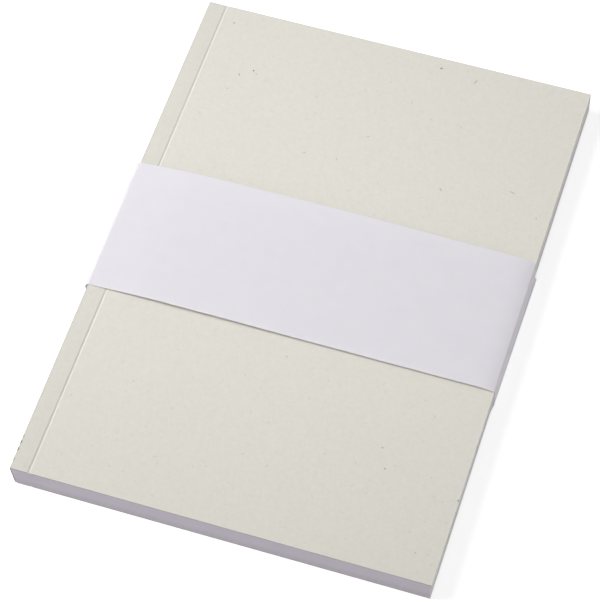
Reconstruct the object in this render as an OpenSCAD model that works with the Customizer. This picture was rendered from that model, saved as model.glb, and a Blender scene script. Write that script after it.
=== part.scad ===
// A softcover notebook with a glued spine, lying flat, in a loose paper belly band.
// +X points from the spine to the fore-edge, +Y from the tail to the head and +Z up.
// The origin is the centre of the footprint, on the surface that the notebook lies on.

/* [Book] */
// Width from the spine's outer face to the fore-edge
book_w = 148; // [90:1:220]
// Height from the tail to the head
book_h = 210; // [120:1:320]
// Thickness over both covers
book_t = 9.7; // [5:0.1:30]

/* [Cover] */
// Thickness of the cover card
card_t = 0.35; // [0.2:0.05:0.5]
// Outer radius of the card where it turns round the spine
spine_r = 1; // [0.7:0.1:2]
// Distance that the spine leans in between the front cover and the back cover
spine_lean = 0.8; // [0:0.1:1]
// Distance from the spine's outer face to the bottom of the hinge crease
crease_x = 6.9; // [5:0.1:14]
// Width of the pressed crease
crease_w = 1.2; // [0.6:0.1:2]
// Depth of the pressed crease
crease_d = 0.18; // [0.05:0.01:0.18]

/* [Binding] */
// Thickness of the hot glue between the backs of the pages and the spine card
spine_glue_t = 0.5; // [0.3:0.05:1]
// Thickness of the side glue under the hinge strips
side_glue_t = 0.1; // [0.05:0.01:0.2]
// Distance that the side glue stops short of the crease
side_glue_gap = 0.4; // [0.1:0.1:1]

/* [Belly band] */
// Width of the band along the spine
band_w = 55; // [20:1:100]
// Distance of the band's middle from the book's middle, towards the head
band_y = -0.5; // [-8:0.5:8]
// Thickness of the band's paper
paper_t = 0.15; // [0.1:0.01:0.3]
// Length of the glued lap under the book
lap_w = 15; // [10:1:40]
// Thickness of the glue in the lap
lap_glue_t = 0.05; // [0.03:0.01:0.1]
// Distance that the glue stops short of the lap's two ends
lap_glue_end = 2.5; // [1:0.5:4]
// Distance that the glue stops short of the band's two edges
lap_glue_edge = 2; // [1:0.5:8]
// Length over which the inner end of the band steps up onto the outer end
step_w = 3; // [1:0.5:6]
// Clearance between the lap and the back cover
band_seat = 0.05; // [0.03:0.01:0.2]
// Clearance between the band and the spine
band_spine = 0.75; // [0.2:0.05:2]
// Clearance between the band and the fore-edge
band_fore = 0.35; // [0.2:0.05:2]
// Clearance above the front cover at the band's two top folds
band_top = 0.3; // [0.1:0.05:1]
// Height that the loose top of the band bows up between its folds
band_bow = 2; // [0:0.1:4]
// Least clearance from a fold to the sharp edge of the book
fold_clear = 0.03; // [0.01:0.01:0.05]

/* [Hidden] */

// The book stands on the lap of the band: an outer ply, the glue and an inner ply.
outer_ply_z = paper_t / 2;
inner_ply_z = outer_ply_z + paper_t + lap_glue_t;
book_z = inner_ply_z + paper_t / 2 + band_seat;
// The band's path is the middle of its paper, and the book lies off its centre.
band_x = (book_w + band_spine + band_fore + paper_t) / 2;
book_x = paper_t / 2 + band_spine - band_x;
top_fold_z = book_z + book_t + band_top + paper_t / 2;
// The angle that the spine leans off the upright
lean = atan(spine_lean / (book_t - 2 * spine_r));
pages_x = card_t + spine_glue_t;
pages_z = card_t + side_glue_t;
side_glue_end = crease_x - crease_w / 2 - side_glue_gap;
// Cutting shapes run this far past the faces that they cut.
past = 0.5;
// Straight pieces in each rounded corner, in the bowed top ply and in the step
arc_steps = 12;
bow_steps = 48;
step_steps = 6;
// A higher power keeps the bow flatter in the middle and steeper at its folds.
bow_power = 4;

// The largest inner radius that a fold can have and still clear a square corner,
// from its clearance beside the corner and its clearance above or below it.
function fold_radius(beside, over) =
    beside + over - fold_clear
    + sqrt(2 * (beside - fold_clear) * (over - fold_clear));

fold_side = min(band_spine, band_fore);
top_fold_r = fold_radius(fold_side, band_top) + paper_t / 2;
low_fold_r = fold_radius(fold_side, book_z - paper_t) + paper_t / 2;
// The top ply leaves its folds at the slope that its bow starts with.
bow_slope = atan(bow_power * band_bow / (band_x - top_fold_r));
bow_x = band_x - top_fold_r + top_fold_r * sin(bow_slope);
bow_z = top_fold_z - top_fold_r + top_fold_r * cos(bow_slope);

function arc(x, z, r, from, to) =
    [for (i = [0 : arc_steps])
        let (a = from + (to - from) * i / arc_steps)
        [x + r * cos(a), z + r * sin(a)]];

// The face of the spine at a height, moved into the book by a depth.
function spine_x(z, depth) =
    spine_r + (book_t - spine_r - z) * tan(lean) - (spine_r - depth) / cos(lean);

function bow(x) = bow_z + band_bow * (1 - pow(abs(x / bow_x), bow_power));

function ease(t) = t * t * (3 - 2 * t);

// From the inner end, down the step, round the spine, over the top, round the
// fore-edge and back under the inner end.
band_path = concat(
    [[lap_w / 2, inner_ply_z]],
    [for (i = [0 : step_steps])
        let (t = i / step_steps)
        [-lap_w / 2 - step_w * t, inner_ply_z + (outer_ply_z - inner_ply_z) * ease(t)]],
    arc(low_fold_r - band_x, outer_ply_z + low_fold_r, low_fold_r, 270, 180),
    arc(top_fold_r - band_x, top_fold_z - top_fold_r, top_fold_r, 180, 90 + bow_slope),
    [for (i = [1 : bow_steps - 1])
        let (x = bow_x * (2 * i / bow_steps - 1))
        [x, bow(x)]],
    arc(band_x - top_fold_r, top_fold_z - top_fold_r, top_fold_r, 90 - bow_slope, 0),
    arc(band_x - low_fold_r, outer_ply_z + low_fold_r, low_fold_r, 360, 270),
    [[-lap_w / 2, outer_ply_z]]);

// The direction of a path at a point, from the point before it to the point after.
function heading(path, i) =
    let (a = path[max(i - 1, 0)], b = path[min(i + 1, len(path) - 1)])
    (b - a) / norm(b - a);

// The line that runs beside a path at a given distance to its left.
function beside(path, distance) =
    [for (i = [0 : len(path) - 1])
        let (d = heading(path, i))
        path[i] + distance * [-d[1], d[0]]];

function reversed(list) = [for (i = [len(list) - 1 : -1 : 0]) list[i]];

// Runs a section that lies across the spine along it, to each side of its middle.
module along_spine(length) {
    rotate([90, 0, 0]) linear_extrude(height = length, center = true) children();
}

// Runs a section that is drawn from the corner under the spine along the book.
module along_book() {
    along_spine(book_h) translate([book_x, book_z]) children();
}

// The section of the closed book, with its surface moved in by a depth.
module book_outline(depth, reach) {
    r = spine_r - depth;
    polygon(concat(
        arc(spine_r, book_t - spine_r, r, 90, 180 + lean),
        arc(spine_r + spine_lean, spine_r, r, 180 + lean, 270),
        [[book_w + reach, depth], [book_w + reach, book_t - depth]]));
}

// The space inside the card, which can run out past the fore-edge.
module inside_card(reach = 0) {
    book_outline(card_t, reach);
}

// All that lies further from the spine's outer face than a depth.
module behind_spine(depth) {
    polygon([[spine_x(0, depth), 0], [spine_x(book_t, depth), book_t],
             [book_w, book_t], [book_w, 0]]);
}

// The groove that a scoring rule presses into the outer face of a cover.
module crease_groove() {
    half = crease_w / 2 * (1 + past / crease_d);
    translate([crease_x, 0]) polygon([[-half, -past], [half, -past], [0, crease_d]]);
}

// The film that holds a hinge strip of the card to the outermost page.
module side_glue(z) {
    intersection() {
        translate([0, z]) square([side_glue_end, side_glue_t]);
        behind_spine(pages_x);
        inside_card();
    }
}

// One folded card: back cover, spine and front cover, creased beside the spine.
module cover() {
    color("#dfdcd2") along_book() difference() {
        book_outline(0, 0);
        inside_card(past);
        crease_groove();
        translate([0, book_t]) mirror([0, 1]) crease_groove();
    }
}

// All the pages as one block, trimmed flush with the card on three sides.
module text_block() {
    color("#e9e6ec") along_book() intersection() {
        translate([0, pages_z]) square([book_w, book_t - 2 * pages_z]);
        behind_spine(pages_x);
        inside_card();
    }
}

// The hot glue along the backs of the pages.
module spine_glue() {
    color("#cec8cb") along_book() difference() {
        inside_card();
        behind_spine(pages_x);
    }
}

module front_side_glue() {
    color("#e6e1cc") along_book() side_glue(book_t - pages_z);
}

module back_side_glue() {
    color("#e6e1cc") along_book() side_glue(card_t);
}

// One strip of paper, folded round the book and lapped under it.
module belly_band() {
    color("#eae7ee") translate([0, band_y, 0]) along_spine(band_w)
        polygon(concat(beside(band_path, paper_t / 2),
                       reversed(beside(band_path, -paper_t / 2))));
}

// The glue between the two ends of the band.
module lap_glue() {
    half = lap_w / 2 - lap_glue_end;
    color("#e6e1cc") translate([0, band_y, 0]) along_spine(band_w - 2 * lap_glue_edge)
        translate([-half, paper_t]) square([2 * half, lap_glue_t]);
}

cover();
text_block();
spine_glue();
front_side_glue();
back_side_glue();
belly_band();
lap_glue();
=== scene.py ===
# Softcover notebook in a loose paper belly band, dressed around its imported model
import math
import random

import bmesh
import bpy
from mathutils import Matrix, Vector, noise


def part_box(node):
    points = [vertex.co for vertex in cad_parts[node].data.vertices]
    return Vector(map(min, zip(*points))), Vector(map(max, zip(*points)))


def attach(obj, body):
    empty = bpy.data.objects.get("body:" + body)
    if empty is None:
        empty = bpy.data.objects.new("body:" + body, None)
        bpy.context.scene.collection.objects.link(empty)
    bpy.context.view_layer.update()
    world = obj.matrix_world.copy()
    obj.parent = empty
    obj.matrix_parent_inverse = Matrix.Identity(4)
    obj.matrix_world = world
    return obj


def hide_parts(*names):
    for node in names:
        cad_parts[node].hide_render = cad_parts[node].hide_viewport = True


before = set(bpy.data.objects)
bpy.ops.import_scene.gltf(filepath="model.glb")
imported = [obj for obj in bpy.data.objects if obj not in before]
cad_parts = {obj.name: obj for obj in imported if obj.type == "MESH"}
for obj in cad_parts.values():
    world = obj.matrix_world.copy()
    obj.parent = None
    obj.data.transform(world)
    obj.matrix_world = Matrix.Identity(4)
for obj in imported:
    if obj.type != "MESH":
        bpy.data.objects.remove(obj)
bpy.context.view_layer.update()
mm = 0.001  # the scene is in metres
across, along, up = 0, 1, 2  # spine to fore-edge, tail to head, and off the table
print("frame loaded:", ", ".join(sorted(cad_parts)))

bookLow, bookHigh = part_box("cover")
pagesLow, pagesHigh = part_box("text_block")
bandLow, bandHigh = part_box("belly_band")
bookHeight = bookHigh.z - bookLow.z


# Small tools for meshes


def mix(a, b, t):
    return a + (b - a) * t


def ease(t):  # 0 to 1 with a soft start and a soft stop
    t = min(max(t, 0), 1)
    return t * t * (3 - 2 * t)


def foldedSheet(section, start, length):  # a line drawn in X and Z, run along the spine
    bm = bmesh.new()
    verts = [bm.verts.new((x, start, z)) for x, z in section]
    for a, b in zip(verts, verts[1:]):
        bm.edges.new((a, b))
    made = bmesh.ops.extrude_edge_only(bm, edges=bm.edges[:])["geom"]
    far = [g for g in made if isinstance(g, bmesh.types.BMVert)]
    bmesh.ops.translate(bm, verts=far, vec=(0, length, 0))
    bmesh.ops.recalc_face_normals(bm, faces=bm.faces[:])
    return bm


def roundFold(bm, corner, radius, steps):  # corner is the fold's X and Z
    spot = Vector(corner)

    def isFold(edge):
        return all((Vector((v.co.x, v.co.z)) - spot).length < 1e-7 for v in edge.verts)

    bmesh.ops.bevel(bm, geom=[e for e in bm.edges if isFold(e)], offset=radius,
                    segments=steps, profile=0.5, affect="EDGES", material=-1)


def cutAcross(bm, axis, places):  # straight cuts through the whole mesh
    normal = Vector((0, 0, 0))
    normal[axis] = 1
    for place in places:
        bmesh.ops.bisect_plane(bm, geom=bm.verts[:] + bm.edges[:] + bm.faces[:],
                               dist=1e-7, plane_co=normal * place, plane_no=normal)


def evenly(low, high, count):
    return [mix(low, high, (i + 1) / (count + 1)) for i in range(count)]


def makePiece(name, bm, materials, body, slot, *nodes, smoothUnder=35):
    mesh = bpy.data.meshes.new(name)
    bm.to_mesh(mesh)
    bm.free()
    mesh.polygons.foreach_set("use_smooth", [True] * len(mesh.polygons))
    mesh.set_sharp_from_angle(angle=math.radians(smoothUnder))
    for material in materials:
        mesh.materials.append(material)
    piece = bpy.data.objects.new(name, mesh)
    bpy.context.collection.objects.link(piece)
    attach(piece, body)
    if nodes:
        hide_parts(*nodes)
    return piece


# Small tools for materials


def feed(tree, node, inputs):  # a socket is linked and anything else is a set value
    for key, value in inputs.items():
        if isinstance(value, bpy.types.NodeSocket):
            tree.links.new(value, node.inputs[key])
        else:
            node.inputs[key].default_value = value


def addNode(tree, kind, inputs=None, **settings):
    node = tree.nodes.new("ShaderNode" + kind)
    for key, value in settings.items():
        setattr(node, key, value)
    feed(tree, node, inputs or {})
    return node


def sums(tree, operation, a, b):
    return addNode(tree, "Math", {0: a, 1: b}, operation=operation).outputs[0]


def weigh(tree, *layers):  # each layer is a value and its share of the sum
    total = None
    for value, share in layers:
        part = sums(tree, "MULTIPLY", value, share)
        total = part if total is None else sums(tree, "ADD", total, part)
    return total


def scaleColour(tree, colour, factor):
    return addNode(tree, "VectorMath", {0: colour, "Scale": factor},
                   operation="SCALE").outputs[0]


def blendColours(tree, factor, a, b):
    node = addNode(tree, "Mix", {0: factor, 6: a, 7: b}, data_type="RGBA")
    return node.outputs[2]


def fade(tree, value, near, far):  # 1 up to near and 0 from far on
    return addNode(tree, "MapRange", {0: value, 1: near, 2: far, 3: 1.0, 4: 0.0},
                   interpolation_type="SMOOTHSTEP").outputs[0]


def newGroup(name, inputs, outputs):
    group = bpy.data.node_groups.new(name, "ShaderNodeTree")
    for label, kind in inputs:
        group.interface.new_socket(name=label, in_out="INPUT",
                                   socket_type="NodeSocket" + kind)
    for label, kind in outputs:
        group.interface.new_socket(name=label, in_out="OUTPUT",
                                   socket_type="NodeSocket" + kind)
    return group, group.nodes.new("NodeGroupInput"), group.nodes.new("NodeGroupOutput")


def place(tree, group, inputs):
    node = tree.nodes.new("ShaderNodeGroup")
    node.node_tree = group
    feed(tree, node, inputs)
    return node.outputs


def newMaterial(name, sockets):  # even values go on the shader's own sockets
    material = bpy.data.materials.new(name)
    material.use_nodes = True
    tree = material.node_tree
    shader = tree.nodes["Principled BSDF"]
    for key, value in sockets.items():
        shader.inputs[key].default_value = value
    where = addNode(tree, "TexCoord").outputs["Object"]
    return material, tree, shader, where


def linear(r, g, b):  # a colour as read off a screen, 0 to 255
    def one(c):
        c = c / 255
        return c / 12.92 if c <= 0.04045 else ((c + 0.055) / 1.055) ** 2.4

    return one(r), one(g), one(b), 1.0


# Effects that several papers share


def buildPulp():  # matted fibres that lie every way in the sheet
    group, start, end = newGroup(
        "pulp", [("Vector", "Vector"), ("Size", "Float"), ("Stretch", "Float")],
        [("Tone", "Float"), ("Height", "Float")])
    scale = sums(group, "DIVIDE", 1.0, start.outputs["Size"])
    thin = sums(group, "DIVIDE", 1.0, start.outputs["Stretch"])
    squeeze = addNode(group, "CombineXYZ", {0: thin, 1: 1.0, 2: 1.0}).outputs[0]
    layers = []
    for turn in (0.2, 1.25, 2.3):
        turned = addNode(group, "VectorRotate",
                         {"Vector": start.outputs["Vector"], "Angle": turn},
                         rotation_type="Z_AXIS").outputs[0]
        long = addNode(group, "VectorMath", {0: turned, 1: squeeze}, operation="MULTIPLY")
        layers.append(addNode(group, "TexNoise",
                              {"Vector": long.outputs[0], "Scale": scale,
                               "Detail": 3.0, "Roughness": 0.6}).outputs[0])
    total = sums(group, "ADD", sums(group, "ADD", layers[0], layers[1]), layers[2])
    top = sums(group, "MAXIMUM", sums(group, "MAXIMUM", layers[0], layers[1]), layers[2])
    group.links.new(sums(group, "DIVIDE", total, 3.0), end.inputs["Tone"])
    group.links.new(top, end.inputs["Height"])
    return group


def buildStrays():  # single odd fibres, set at random in the thickness of the sheet
    group, start, end = newGroup(
        "strayFibres",
        [("Vector", "Vector"), ("Cell", "Float"), ("Length", "Float"),
         ("Width", "Float"), ("Share", "Float"), ("Bend", "Float")],
        [("Mask", "Float"), ("Chance", "Float")])
    inputs = start.outputs
    perCell = sums(group, "DIVIDE", 1.0, inputs["Cell"])
    scaled = addNode(group, "VectorMath", {0: inputs["Vector"], "Scale": perCell},
                     operation="SCALE").outputs[0]
    sway = addNode(group, "TexNoise", {"Vector": scaled, "Scale": 2.0, "Detail": 0.0})
    swayed = addNode(group, "VectorMath", {0: sway.outputs["Color"], 1: (0.5, 0.5, 0.5)},
                     operation="SUBTRACT").outputs[0]
    bent = addNode(group, "VectorMath", {0: swayed, "Scale": inputs["Bend"]},
                   operation="SCALE").outputs[0]
    spot = addNode(group, "VectorMath", {0: scaled, 1: bent}, operation="ADD").outputs[0]
    cell = addNode(group, "TexVoronoi", {"Vector": spot, "Scale": 1.0})
    local = addNode(group, "VectorMath", {0: spot, 1: cell.outputs["Position"]},
                    operation="SUBTRACT").outputs[0]
    dice = addNode(group, "SeparateColor", {0: cell.outputs["Color"]}).outputs
    turned = addNode(group, "VectorRotate",
                     {"Vector": local, "Angle": sums(group, "MULTIPLY", dice[0], math.tau)},
                     rotation_type="Z_AXIS").outputs[0]
    parts = addNode(group, "SeparateXYZ", {0: turned}).outputs
    size = sums(group, "ADD", sums(group, "MULTIPLY", dice[1], 0.35), 0.2)
    halfLong = sums(group, "MULTIPLY", sums(group, "MULTIPLY", inputs["Length"], size),
                    perCell)
    halfWide = sums(group, "MULTIPLY", sums(group, "MULTIPLY", inputs["Width"], 0.5),
                    perCell)
    ends = fade(group, sums(group, "ABSOLUTE", parts[0], 0.0),
                sums(group, "MULTIPLY", halfLong, 0.6), halfLong)
    sides = fade(group, sums(group, "ABSOLUTE", parts[1], 0.0),
                 sums(group, "MULTIPLY", halfWide, 0.3), halfWide)
    deep = fade(group, sums(group, "ABSOLUTE", parts[2], 0.0),
                sums(group, "MULTIPLY", perCell, 0.7 * mm),
                sums(group, "MULTIPLY", perCell, 1.2 * mm))
    kept = sums(group, "LESS_THAN", dice[2], inputs["Share"])
    mask = sums(group, "MULTIPLY", sums(group, "MULTIPLY", ends, sides),
                sums(group, "MULTIPLY", deep, kept))
    chance = addNode(group, "TexWhiteNoise", {"Vector": cell.outputs["Position"]})
    group.links.new(mask, end.inputs["Mask"])
    group.links.new(chance.outputs["Value"], end.inputs["Chance"])
    return group


def buildFleck():  # one mark of its own place, turn and size
    group, start, end = newGroup(
        "fleck", [("Vector", "Vector"), ("Place", "Vector"), ("Turn", "Float"),
                  ("Size", "Vector")], [("Mask", "Float")])
    local = addNode(group, "VectorMath",
                    {0: start.outputs["Vector"], 1: start.outputs["Place"]},
                    operation="SUBTRACT").outputs[0]
    turned = addNode(group, "VectorRotate",
                     {"Vector": local, "Angle": start.outputs["Turn"]},
                     rotation_type="Z_AXIS").outputs[0]
    sized = addNode(group, "VectorMath", {0: turned, 1: start.outputs["Size"]},
                    operation="DIVIDE").outputs[0]
    far = addNode(group, "VectorMath", {0: sized}, operation="LENGTH").outputs["Value"]
    group.links.new(fade(group, far, 0.25, 0.55), end.inputs["Mask"])
    return group


pulp = buildPulp()
strays = buildStrays()
fleck = buildFleck()
print("shared paper effects built")


# Cover: one card folded round the pages, pressed with a score beside the spine

coverCard = {
    "thickness": 0.35 * mm,
    "frontRadius": 0.22 * mm,  # the fold at the front is sharper than the one behind
    "backRadius": 1.0 * mm,
    "spineLean": 0.8 * mm,  # how far the spine leans in by the back cover
    "spineSwell": 0.22 * mm,  # and how far it stands out in the middle of its length
    "scoreFromSpine": 6.8 * mm,
    "scoreWidth": 1.2 * mm,
    "scoreDepth": (0.265 * mm, 0.205 * mm),  # at the tail and at the head
    "pressDepth": 0.04 * mm,  # the hinge strip slopes down this far to the score
    "pressReach": 12 * mm,  # the panel has come up again by here
    "wave": 0.025 * mm,
    "waveFrom": 8 * mm,  # the front cover lies flat up to here from the spine
    "waveReach": 30 * mm,
    "edgeRound": 0.05 * mm,
    "foldSteps": 8,
    "slip": 0.3 * mm,  # the back cover lies in this far at the fore-edge by the tail
    "slipStop": (74.2 * mm, 77.4 * mm),  # from the tail: out again at the band's edge
    "pale": linear(229, 226, 218),
    "deep": linear(219, 216, 206),
    "hingeShade": 0.96,  # painted shade: the strip beside the spine is pressed down, and also painted darker as its slope turns from the light
    "foldShade": 0.94,  # painted shade on the fold at the spine, darker so that the fold shows no highlight
    # how far the strip's and the fold's tones reach: full up to the first, none past
    # the second, from the score and from the spine
    "hingeReach": (-0.2 * mm, 0.2 * mm),
    "foldReach": (0.3 * mm, 0.7 * mm),
    # shares of the clouds, the mottling, the fibres and the grain in the card's tone
    "toneShares": (0.12, 0.4, 1.0, 0.28),
    "toneRange": (0.545, 1.255),
    "cutEdge": linear(188, 184, 182),
    "cutCore": linear(170, 165, 160),
    "cutSpineShade": linear(104, 99, 92),  # painted shade: the cut ends of the folded spine are dark as in the shadowed gap by the pages
    "cutSpineShadeReach": (1.2 * mm, 2.0 * mm),
    "fleckColour": linear(120, 115, 103),
    "speckColour": linear(95, 88, 74),
    "scuffSize": (1.3 * mm, 2.2 * mm, 1.0 * mm),
    "scuffPlace": (0.05 * mm, 0.25 * mm),  # from the spine, and below the front cover
}

# short brown fibres all over, and a few longer and darker ones:
# cell, length and width in mm, share of the cells that hold one, bend, darkness
fleckKinds = [
    (4.0, 1.8, 0.5, 0.75, 0.3, 0.13),
    (7.0, 1.6, 0.6, 0.5, 0.15, 0.22),
    (6.0, 3.4, 0.35, 0.4, 0.5, 0.16),
]

# x from the spine, y from the tail, turn, length, width, all in mm and degrees,
# and how dark: the few specks of the card that stand out
boldFlecks = [
    (26.0, 183.8, -62, 0.8, 0.7, 1.0),
    (21.5, 180.5, -61, 1.3, 0.7, 0.45),
    (12.0, 203.0, 5, 0.9, 0.7, 0.5),
    (27.5, 182.5, -44, 1.5, 0.5, 0.25),
    (19.3, 173.2, 22, 1.3, 0.6, 0.22),
    (92.2, 205.3, 13, 1.3, 0.9, 0.7),
    (106.0, 203.0, 68, 2.8, 0.5, 0.45),
    (132.0, 159.0, -15, 2.8, 0.5, 0.4),
    (107.0, 152.7, -46, 1.9, 0.6, 0.4),
    (67.3, 154.5, -25, 0.9, 0.6, 0.3),
    (75.3, 167.5, 16, 1.3, 0.6, 0.28),
    (55.2, 153.8, 38, 1.8, 0.6, 0.25),
    (143.0, 150.7, -80, 1.1, 0.6, 0.25),
    (120.8, 37.3, -61, 0.9, 0.7, 0.5),
    (117.7, 44.8, 2, 1.1, 0.7, 0.4),
    (139.5, 10.0, 83, 1.1, 0.6, 0.25),
    (75.7, 69.5, -32, 1.3, 0.6, 0.28),
    (147.6, 32.9, 90, 1.0, 0.6, 0.7),
    (145.6, 7.1, 20, 0.9, 0.6, 0.2),
]
# Scuffs on the fold of the spine, by their distance from the tail in mm and strength
spineScuffs = [(3.8, 0.55), (7.8, 0.95), (10.6, 0.85), (12.9, 0.5)]


def cardColour(tree, where):
    card = coverCard
    blotch = addNode(tree, "TexNoise", {"Vector": where, "Scale": 28.0, "Detail": 2.0})
    mottle = addNode(tree, "TexNoise", {"Vector": where, "Scale": 620.0, "Detail": 1.0})
    fibres = place(tree, pulp, {"Vector": where, "Size": 0.9 * mm, "Stretch": 5.0})
    grain = addNode(tree, "TexNoise", {"Vector": where, "Scale": 2200.0, "Detail": 2.0})
    layers = (blotch.outputs[0], mottle.outputs[0], fibres["Tone"], grain.outputs[0])
    tone = weigh(tree, *zip(layers, card["toneShares"]))
    low, high = card["toneRange"]
    tone = addNode(tree, "MapRange", {0: tone, 1: low, 2: high}).outputs[0]
    colour = blendColours(tree, tone, card["deep"], card["pale"])
    x = addNode(tree, "SeparateXYZ", {0: where}).outputs[0]
    score = bookLow.x + card["scoreFromSpine"]
    hinge = fade(tree, x, *[score + reach for reach in card["hingeReach"]])
    fold = fade(tree, x, *[bookLow.x + reach for reach in card["foldReach"]])
    # painted shade: the hinge strip is darker, as its slope turns from the light
    pressAndShade = addNode(tree, "MapRange", {0: hinge, 3: 1.0, 4: card["hingeShade"]})
    # painted shade on the spine's fold, which takes off its highlight
    spineShade = addNode(tree, "MapRange", {0: fold, 3: 1.0, 4: card["foldShade"]})
    colour = scaleColour(tree, colour, sums(tree, "MULTIPLY", pressAndShade.outputs[0],
                                            spineShade.outputs[0]))
    for cell, length, width, share, bend, dark in fleckKinds:
        odd = place(tree, strays, {"Vector": where, "Cell": cell * mm,
                                   "Length": length * mm, "Width": width * mm,
                                   "Share": share, "Bend": bend})
        strength = sums(tree, "MULTIPLY", sums(tree, "MULTIPLY", odd["Mask"],
                                               odd["Chance"]), dark)
        colour = blendColours(tree, strength, colour, card["fleckColour"])
    return colour, fibres, grain


def markCard(tree, where, dark, spot, turn, size, depth):  # one more mark, if darker
    mark = place(tree, fleck, {"Vector": where, "Place": spot, "Turn": turn,
                               "Size": size})
    return sums(tree, "MAXIMUM", sums(tree, "MULTIPLY", mark["Mask"], depth), dark)


def makeCardMaterial():
    card = coverCard
    material, tree, shader, where = newMaterial("recycledCard", {"IOR": 1.45})
    colour, fibres, grain = cardColour(tree, where)
    dark = 0.0
    for x, y, turn, length, width, depth in boldFlecks:
        spot = (bookLow.x + x * mm, bookLow.y + y * mm, bookHigh.z)
        dark = markCard(tree, where, dark, spot, math.radians(-turn),
                        (length * mm, width * mm, mm), depth)
    inward, below = card["scuffPlace"]
    for y, depth in spineScuffs:
        spot = (bookLow.x + inward, bookLow.y + y * mm, bookHigh.z - below)
        dark = markCard(tree, where, dark, spot, 0.0, card["scuffSize"], depth)
    colour = blendColours(tree, dark, colour, card["speckColour"])
    height = sums(tree, "ADD", fibres["Height"],
                  sums(tree, "MULTIPLY", grain.outputs[0], 0.35))
    bump = addNode(tree, "Bump", {"Height": height, "Strength": 0.2,
                                  "Distance": 0.06 * mm})
    rough = addNode(tree, "MapRange", {0: fibres["Tone"], 3: 0.9, 4: 0.72}).outputs[0]
    tree.links.new(colour, shader.inputs["Base Color"])
    tree.links.new(rough, shader.inputs["Roughness"])
    tree.links.new(bump.outputs[0], shader.inputs["Normal"])
    return material


def makeCutCardMaterial():  # the sheared edge shows the darker grey core
    card = coverCard
    material, tree, shader, where = newMaterial("cutCard", {"Roughness": 0.92})
    plies = addNode(tree, "Mapping", {"Vector": where, "Scale": (600, 600, 9000)})
    layered = addNode(tree, "TexNoise", {"Vector": plies.outputs[0], "Scale": 1.0,
                                         "Detail": 3.0})
    tone = addNode(tree, "MapRange", {0: layered.outputs[0], 1: 0.3, 2: 0.7}).outputs[0]
    colour = blendColours(tree, tone, card["cutCore"], card["cutEdge"])
    x = addNode(tree, "SeparateXYZ", {0: where}).outputs[0]
    # painted shade on the cut ends by the spine, as in the gap beside the pages
    spineShade = fade(tree, x, *[bookLow.x + reach for reach in card["cutSpineShadeReach"]])
    uneven = addNode(tree, "MapRange", {0: tone, 3: 0.7, 4: 1.0}).outputs[0]
    colour = blendColours(tree, sums(tree, "MULTIPLY", spineShade, uneven), colour,
                          card["cutSpineShade"])
    bump = addNode(tree, "Bump", {"Height": layered.outputs[0], "Strength": 0.5,
                                  "Distance": 0.05 * mm})
    tree.links.new(colour, shader.inputs["Base Color"])
    tree.links.new(bump.outputs[0], shader.inputs["Normal"])
    return material


def spineSlope():
    return coverCard["spineLean"] / (bookHeight - 2 * coverCard["backRadius"])


def scoreDrop(x, v):  # how far a cover lies below flat, v runs from tail to head
    card = coverCard
    gap = abs(x - card["scoreFromSpine"]) / (card["scoreWidth"] / 2)
    groove = mix(*card["scoreDepth"], v) * max(1 - gap, 0)
    if x < card["scoreFromSpine"]:
        pressAndShade = ease((x - card["backRadius"])
                       / (card["scoreFromSpine"] - card["backRadius"]))
    else:
        pressAndShade = 1 - ease((x - card["scoreFromSpine"])
                           / (card["pressReach"] - card["scoreFromSpine"]))
    return groove + card["pressDepth"] * pressAndShade


def slip(vert):  # the closed book leans in a little at its fore-edge, by the tail
    inward = (vert.co.x - bookLow.x) / (bookHigh.x - bookLow.x)
    below = (bookHigh.z - vert.co.z) / bookHeight
    begin, end = coverCard["slipStop"]
    near = 1 - ease((vert.co.y - bookLow.y - begin) / (end - begin))
    vert.co.x -= coverCard["slip"] * inward * below * near


def slipCuts():
    begin, end = coverCard["slipStop"]
    return [bookLow.y + mix(begin, end, k / 4) for k in range(5)]


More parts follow.
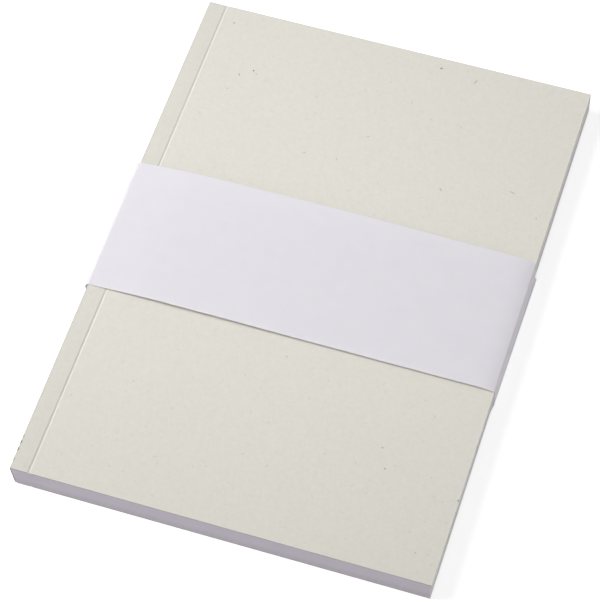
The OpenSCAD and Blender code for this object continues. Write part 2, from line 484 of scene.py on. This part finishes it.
def makeCover():
    card = coverCard
    slope = spineSlope()
    turn = math.atan(slope)
    radius = card["frontRadius"]  # the spine's face touches the side of the book's box
    topX = bookLow.x + radius * (1 - 1 / math.cos(turn)) - radius * slope
    lowX = topX + bookHeight * slope
    bm = foldedSheet([(bookHigh.x, bookHigh.z), (topX, bookHigh.z), (lowX, bookLow.z),
                      (bookHigh.x, bookLow.z)], bookLow.y, bookHigh.y - bookLow.y)
    quarter = math.pi / 4
    roundFold(bm, (topX, bookHigh.z),
              card["frontRadius"] * math.tan(quarter + turn / 2), card["foldSteps"])
    roundFold(bm, (lowX, bookLow.z),
              card["backRadius"] * math.tan(quarter - turn / 2), card["foldSteps"])
    half = card["scoreWidth"] / 2
    score = bookLow.x + card["scoreFromSpine"]
    cutAcross(bm, across, [score + half * k / 3 for k in range(-4, 5)])
    cutAcross(bm, across, evenly(bookLow.x + 2 * mm, score - 1.5 * half, 4))
    cutAcross(bm, across, evenly(score + 1.5 * half, bookLow.x + card["pressReach"], 5))
    cutAcross(bm, across, evenly(bookLow.x + card["pressReach"], bookHigh.x, 16))
    cutAcross(bm, along, evenly(bookLow.y, bookHigh.y, 25))
    cutAcross(bm, along, slipCuts())
    bmesh.ops.solidify(bm, geom=bm.faces[:], thickness=card["thickness"])
    outer = [v for v in bm.verts if abs(v.co.z - bookHigh.z) < 1e-6
             or abs(v.co.z - bookLow.z) < 1e-6]
    for vert in outer:
        drop = scoreDrop(vert.co.x - bookLow.x,
                         (vert.co.y - bookLow.y) / (bookHigh.y - bookLow.y))
        vert.co.z += drop if vert.co.z < bookLow.z + bookHeight / 2 else -drop
    for vert in bm.verts:  # the front cover is never quite flat
        if vert.co.z > bookHigh.z - 2 * card["thickness"]:
            free = ease((vert.co.x - bookLow.x - card["waveFrom"]) / card["waveReach"])
            swell = noise.noise(Vector((vert.co.x * 22, vert.co.y * 16, 3.7)))
            vert.co.z += card["wave"] * free * swell
        slip(vert)
        bySpine = 1 - ease((vert.co.x - bookLow.x) / card["scoreFromSpine"])
        fromTail = (vert.co.y - bookLow.y) / (bookHigh.y - bookLow.y)
        vert.co.x -= card["spineSwell"] * bySpine * (1 - (2 * fromTail - 1) ** 4)
    for face in bm.faces:
        foreEdge = face.normal.x > 0.7 and face.calc_center_median().x > 0
        face.material_index = int(abs(face.normal.y) > 0.7 or foreEdge)
    rims = [e for e in bm.edges if len(e.link_faces) == 2
            and e.calc_face_angle(0) > math.radians(60)]
    bmesh.ops.bevel(bm, geom=rims, offset=card["edgeRound"], segments=2, profile=0.5,
                    affect="EDGES", material=-1, clamp_overlap=True)
    return makePiece("coverCard", bm, [makeCardMaterial(), makeCutCardMaterial()],
                     "book", "cover_card", "cover", smoothUnder=20)


makeCover()
print("cover folded and scored")


# Pages: single leaves, trimmed together on three sides

pages = {
    "leaves": 94,
    "slack": 0.03,  # share of a leaf's pitch that is air
    "trim": 0.012 * mm,  # how unevenly the knife left the leaves
    "wave": 0.03 * mm,
    "paper": linear(233, 227, 237),
    "shade": linear(222, 215, 227),
    "foreLightTint": (1.05, 1.11, 0.98, 1.0),  # painted light: the fore-edge is brighter and greener, as lit from that side
    "foreLightReach": (0.8 * mm, 0.5 * mm),  # from the fore-edge, where the painted light starts
    # shares of the leaf's own tone, the knife's streaks and the fibres
    "toneShares": (0.35, 0.4, 0.3),
    "floorShadeTone": 0.88,  # painted shade: the lowest leaves are darker towards the floor
    "floorShadeReach": 4.5 * mm,
}


def makePagePaper():
    material, tree, shader, where = newMaterial("pagePaper", {"IOR": 1.45})
    pitch = (pagesHigh.z - pagesLow.z) / pages["leaves"]
    parts = addNode(tree, "SeparateXYZ", {0: where}).outputs
    height = parts[2]
    fromLow = sums(tree, "SUBTRACT", height, pagesLow.z)
    number = sums(tree, "FLOOR", sums(tree, "DIVIDE", fromLow, pitch), 0.0)
    leaf = addNode(tree, "TexWhiteNoise", {"W": number}, noise_dimensions="1D")
    drawn = addNode(tree, "Mapping", {"Vector": where, "Scale": (300, 300, 25000)})
    streak = addNode(tree, "TexNoise", {"Vector": drawn.outputs[0], "Scale": 1.0,
                                        "Detail": 2.0})
    fibres = place(tree, pulp, {"Vector": where, "Size": 0.5 * mm, "Stretch": 3.0})
    layers = (leaf.outputs["Value"], streak.outputs[0], fibres["Tone"])
    tone = weigh(tree, *zip(layers, pages["toneShares"]))
    colour = blendColours(tree, tone, pages["shade"], pages["paper"])
    # painted light: the fore-edge is brighter and greener, as lit from that side
    inside = fade(tree, parts[0], *[pagesHigh.x - reach for reach in pages["foreLightReach"]])
    foreLight = blendColours(tree, inside, pages["foreLightTint"], (1, 1, 1, 1))
    colour = addNode(tree, "VectorMath", {0: colour, 1: foreLight},
                     operation="MULTIPLY").outputs[0]
    # painted shade: the lowest leaves darken towards the floor
    low = fade(tree, height, pagesLow.z, pagesLow.z + pages["floorShadeReach"])
    floorShade = addNode(tree, "MapRange", {0: low, 3: 1.0, 4: pages["floorShadeTone"]}).outputs[0]
    colour = scaleColour(tree, colour, floorShade)
    bump = addNode(tree, "Bump", {"Height": streak.outputs[0], "Strength": 0.3,
                                  "Distance": 0.04 * mm})
    tree.links.new(colour, shader.inputs["Base Color"])
    tree.links.new(addNode(tree, "MapRange", {0: tone, 3: 0.95, 4: 0.8}).outputs[0],
                   shader.inputs["Roughness"])
    tree.links.new(bump.outputs[0], shader.inputs["Normal"])
    return material


def makePages():
    rng = random.Random(21)
    bm = bmesh.new()
    pitch = (pagesHigh.z - pagesLow.z) / pages["leaves"]
    slope = spineSlope()
    for number in range(pages["leaves"]):
        z = pagesLow.z + (number + 0.5) * pitch
        back = pagesLow.x + (pagesHigh.z - z) * slope
        fore = pagesHigh.x - rng.random() * pages["trim"]
        tail = pagesLow.y + rng.random() * pages["trim"]
        head = pagesHigh.y - rng.random() * pages["trim"]
        leaf = bmesh.ops.create_cube(bm, size=1)["verts"]
        bmesh.ops.scale(bm, verts=leaf, vec=(fore - back, head - tail,
                                             pitch * (1 - pages["slack"])))
        bmesh.ops.translate(bm, verts=leaf,
                            vec=((fore + back) / 2, (head + tail) / 2, z))
    cutAcross(bm, along, evenly(pagesLow.y + mm, pagesHigh.y - mm, 14))
    cutAcross(bm, along, slipCuts())
    cutAcross(bm, across, evenly(pagesLow.x + 2 * mm, pagesHigh.x - mm, 9))
    for vert in bm.verts:  # the leaves ripple together, and lie flat under the covers
        depth = (vert.co.z - pagesLow.z) / (pagesHigh.z - pagesLow.z)
        calm = 4 * depth * (1 - depth)
        ripple = noise.noise(vert.co * 60)
        vert.co.z += pages["wave"] * calm * ripple
        slip(vert)
    return makePiece("leaves", bm, [makePagePaper()], "book", "page_paper", "text_block")


makePages()
print("pages stacked")


# Belly band: one strip of paper, bowed up loosely over the front cover

bandStrip = {
    "paper": 0.15 * mm,
    "glue": 0.05 * mm,
    "lap": 15 * mm,
    "step": 3 * mm,
    # outer face of the band over the cover, at the folds by the spine and fore-edge
    "overCover": (0.3 * mm, 0.53 * mm),
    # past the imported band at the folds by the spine, at the tail and head side
    "spineOut": (0.4 * mm, 0.65 * mm),
    # outer face of the band past the fore-edge, at the tail and head side
    "foreOut": (0.2 * mm, 0.25 * mm),
    "foreFlare": (-0.03 * mm, 0.65 * mm),  # and its low fold past that
    "flareReach": 0.16,  # share of the height
    "tailEdge": (-28.1 * mm, -28.25 * mm),  # along the book, by the spine and fore-edge
    "headEdge": (26.75 * mm, 26.95 * mm),
    "tailSkew": 0.35 * mm,  # the tail edge runs in this far down the fore side
    "spineRadius": 1.85 * mm,
    "foreTopRadius": 0.7 * mm,
    "foreLowRadius": 0.5 * mm,
    "peak": (0.6 * mm, 1.7 * mm),  # height of the bow at the tail side and head side
    "rise": (0.9, 0.65),  # smaller is steeper beside the spine
    "fall": (3.2, 1.0),  # larger is flatter towards the fore-edge
    "roll": 0.7 * mm,  # the paper rolls down this far to the fold at the fore-edge
    "rollReach": 7.5 * mm,
    "flutter": 0.06 * mm,
    "foldSteps": 10,
    "bowSteps": 48,
    "toneShares": (0.65, 0.35),  # of the clouds and of the fibres
    "pale": linear(232, 229, 236),
    "deep": linear(225, 222, 229),
}


def bow(u, v):  # u runs from the spine to the fore-edge, v from the tail to the head
    strip = bandStrip
    rise = mix(*strip["rise"], v)
    fall = mix(*strip["fall"], v)
    top = rise / (rise + fall)
    full = top ** rise * (1 - top) ** fall
    return mix(*strip["peak"], v) * u ** rise * (1 - u) ** fall / full


def makeBandPaper():
    material, tree, shader, where = newMaterial(
        "bandPaper", {"IOR": 1.45, "Subsurface Weight": 0.5,
                      "Subsurface Radius": (1, 1, 1), "Subsurface Scale": 0.3 * mm})
    cloud = addNode(tree, "TexNoise", {"Vector": where, "Scale": 160.0, "Detail": 3.0})
    fibres = place(tree, pulp, {"Vector": where, "Size": 0.35 * mm, "Stretch": 3.0})
    tone = weigh(tree, *zip((cloud.outputs[0], fibres["Tone"]), bandStrip["toneShares"]))
    colour = blendColours(tree, tone, bandStrip["deep"], bandStrip["pale"])
    bump = addNode(tree, "Bump", {"Height": fibres["Height"], "Strength": 0.12,
                                  "Distance": 0.03 * mm})
    tree.links.new(colour, shader.inputs["Base Color"])
    tree.links.new(addNode(tree, "MapRange", {0: fibres["Tone"], 3: 0.8, 4: 0.62})
                   .outputs[0], shader.inputs["Roughness"])
    tree.links.new(bump.outputs[0], shader.inputs["Normal"])
    return material


def makeBand():
    strip = bandStrip
    left, right = bandLow.x, bookHigh.x
    topZ = bookHigh.z + strip["overCover"][0]
    innerZ = bandLow.z + strip["paper"] + strip["glue"]
    lap = strip["lap"] / 2
    folds = [((left, bandLow.z), strip["spineRadius"]),
             ((left, topZ), strip["spineRadius"]),
             ((right, topZ), strip["foreTopRadius"]),
             ((right, bandLow.z), strip["foreLowRadius"])]
    section = ([(lap, innerZ), (-lap, innerZ), (-lap - strip["step"], bandLow.z)]
               + [corner for corner, radius in folds] + [(-lap, bandLow.z)])
    width = bandHigh.y - bandLow.y
    bm = foldedSheet(section, bandLow.y, width)
    for corner, radius in folds:
        roundFold(bm, corner, radius, strip["foldSteps"])
    first = left + strip["spineRadius"]
    last = right - strip["foreTopRadius"]
    steps = strip["bowSteps"]
    cutAcross(bm, across, [mix(first, last, (1 - math.cos(math.pi * i / steps)) / 2)
                           for i in range(1, steps)])
    cutAcross(bm, along, evenly(bandLow.y, bandHigh.y, 13))
    flareTop = mix(bandLow.z, topZ, strip["flareReach"])
    cutAcross(bm, up, evenly(bandLow.z + strip["foreLowRadius"], flareTop, 4))
    cutAcross(bm, up, evenly(flareTop, topZ - strip["spineRadius"], 3))
    for vert in bm.verts:
        u = min(max((vert.co.x - first) / (last - first), 0), 1)
        v = (vert.co.y - bandLow.y) / width
        height = (vert.co.z - bandLow.z) / (topZ - bandLow.z)
        if height > 0.99999:  # the loose ply over the cover
            rolled = max(1 - (last - vert.co.x) / strip["rollReach"], 0)
            vert.co.z += bow(u, v)
            vert.co.z += strip["roll"] * (1 - min(rolled, 1) ** 3) * ease(u / 0.15)
            vert.co.z += strip["flutter"] * 16 * (u * (1 - u)) ** 2 * noise.noise(
                Vector((vert.co.x * 35, vert.co.y * 30, 8.2)))
        lift = ease((height - 0.5) / 0.4)
        vert.co.z += lift * u * (strip["overCover"][1] - strip["overCover"][0])
        vert.co.y = mix(mix(*strip["tailEdge"], u), mix(*strip["headEdge"], u), v)
        if vert.co.x > 0:
            vert.co.y += strip["tailSkew"] * (1 - v) * (1 - height) * vert.co.x / right
            flare = mix(*strip["foreFlare"], v) * (1 - ease(height / strip["flareReach"]))
            vert.co.x += (mix(*strip["foreOut"], v) + flare) * vert.co.x / right
        else:
            vert.co.x -= mix(*strip["spineOut"], v) * vert.co.x / left
    bmesh.ops.solidify(bm, geom=bm.faces[:], thickness=strip["paper"])
    return makePiece("bellyBand", bm, [makeBandPaper()], "band", "band_paper",
                     "belly_band")


makeBand()
print("belly band wrapped")


# Glue: hot glue along the spine, side glue in the hinges and a strip in the lap

sideGlue = ("sideGlue", linear(236, 228, 200), 0.45)  # name, colour and roughness
glues = {
    "spine_glue": ("hotGlue", linear(206, 200, 203), 0.35),
    "front_side_glue": sideGlue,
    "back_side_glue": sideGlue,
    "lap_glue": sideGlue,
}


def makeGlue(name, colour, roughness):
    material, tree, shader, where = newMaterial(
        name, {"Roughness": roughness, "IOR": 1.48, "Subsurface Weight": 0.25,
               "Subsurface Radius": (1, 1, 1), "Subsurface Scale": 0.3 * mm})
    drawn = addNode(tree, "TexNoise", {"Vector": where, "Scale": 900.0, "Detail": 3.0})
    cloudy = addNode(tree, "MapRange", {0: drawn.outputs[0], 1: 0.3, 2: 0.7}).outputs[0]
    milk = tuple(mix(c, 1.0, 0.35) for c in colour)
    bump = addNode(tree, "Bump", {"Height": drawn.outputs[0], "Strength": 0.3,
                                  "Distance": 0.1 * mm})
    tree.links.new(blendColours(tree, cloudy, colour, milk), shader.inputs["Base Color"])
    tree.links.new(bump.outputs[0], shader.inputs["Normal"])
    return material


for node, (name, colour, roughness) in glues.items():
    material = bpy.data.materials.get(name) or makeGlue(name, colour, roughness)
    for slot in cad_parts[node].material_slots:
        slot.material = material
print("glue finished")


# Studio: white floor, soft light from the spine side, camera as in the photograph

studio = {
    "floorHalf": 2.5,
    "floor": 0.6,  # how much light the floor sends back
    "floorGlow": (0.7, 0.9),  # seen by the camera, near the notebook and far from it
    "glowReach": (0.2, 0.6),
    "sky": 0.25,
    # place, spot aimed at, size, spread in degrees and strength
    "key": ((-0.491, -0.078, 0.53), (0.0, 0.053, 0), 0.6, 60, 0.985),
    "fill": ((1.15, -0.3, 0.32), (0, 0, 0), 0.7, 180, 3.7),
}
shot = {
    "place": (159.82 * mm, -483.36 * mm, 790.74 * mm),
    "aim": (-0.72 * mm, -12.13 * mm, 10.1 * mm),
    "roll": -1.309,
    "lens": 158.73,  # in mm, as is the sensor's width
    "sensor": 36,
    "clip": (0.05, 10),
}


def seenRays(tree):  # 1 for what the camera sees, also in gloss or through glass
    path = addNode(tree, "LightPath").outputs
    glossy = sums(tree, "MAXIMUM", path["Is Camera Ray"], path["Is Glossy Ray"])
    return sums(tree, "MAXIMUM", glossy, path["Is Transmission Ray"])


def makeFloor():
    bm = bmesh.new()
    bmesh.ops.create_grid(bm, x_segments=2, y_segments=2, size=studio["floorHalf"])
    mesh = bpy.data.meshes.new("floor")
    bm.to_mesh(mesh)
    bm.free()
    material, tree, shader, where = newMaterial("floorWhite", {"Roughness": 1.0})
    level = studio["floor"]
    shader.inputs["Base Color"].default_value = (level, level, level, 1)
    shader.inputs["Specular IOR Level"].default_value = 0.0
    shader.inputs["Emission Color"].default_value = (1, 1, 1, 1)
    distance = addNode(tree, "VectorMath", {0: where}, operation="LENGTH").outputs["Value"]
    nearBy = fade(tree, distance, *studio["glowReach"])
    near, far = studio["floorGlow"]
    glow = addNode(tree, "MapRange", {0: nearBy, 3: far, 4: near}).outputs[0]
    tree.links.new(sums(tree, "MULTIPLY", seenRays(tree), glow),
                   shader.inputs["Emission Strength"])
    mesh.materials.append(material)
    floor = bpy.data.objects.new("floor", mesh)
    bpy.context.collection.objects.link(floor)


def makeLight():
    world = bpy.data.worlds.new("paleRoom")
    world.use_nodes = True
    tree = world.node_tree
    strength = addNode(tree, "MapRange", {0: seenRays(tree), 3: studio["sky"], 4: 1.0})
    tree.links.new(strength.outputs[0], tree.nodes["Background"].inputs["Strength"])
    tree.nodes["Background"].inputs["Color"].default_value = (1, 1, 1, 1)
    bpy.context.scene.world = world
    for name in ("key", "fill"):
        here, aim, size, spread, watts = studio[name]
        lamp = bpy.data.lights.new(name, "AREA")
        lamp.shape = "DISK"
        lamp.size = size
        lamp.spread = math.radians(spread)
        lamp.energy = watts
        light = bpy.data.objects.new(name, lamp)
        light.location = here
        light.rotation_euler = (Vector(aim) - Vector(here)).to_track_quat(
            "-Z", "Y").to_euler()
        bpy.context.collection.objects.link(light)


def makeCamera():
    lens = bpy.data.cameras.new("camera")
    lens.lens = shot["lens"]
    lens.sensor_width = shot["sensor"]
    lens.clip_start, lens.clip_end = shot["clip"]
    camera = bpy.data.objects.new("camera", lens)
    here = Vector(shot["place"])
    turn = (Vector(shot["aim"]) - here).to_track_quat("-Z", "Y").to_matrix().to_4x4()
    roll = Matrix.Rotation(math.radians(shot["roll"]), 4, "Z")
    camera.matrix_world = Matrix.Translation(here) @ turn @ roll
    bpy.context.collection.objects.link(camera)
    bpy.context.scene.camera = camera


makeFloor()
makeLight()
makeCamera()
bpy.context.scene.view_settings.view_transform = "Standard"
print("studio set")
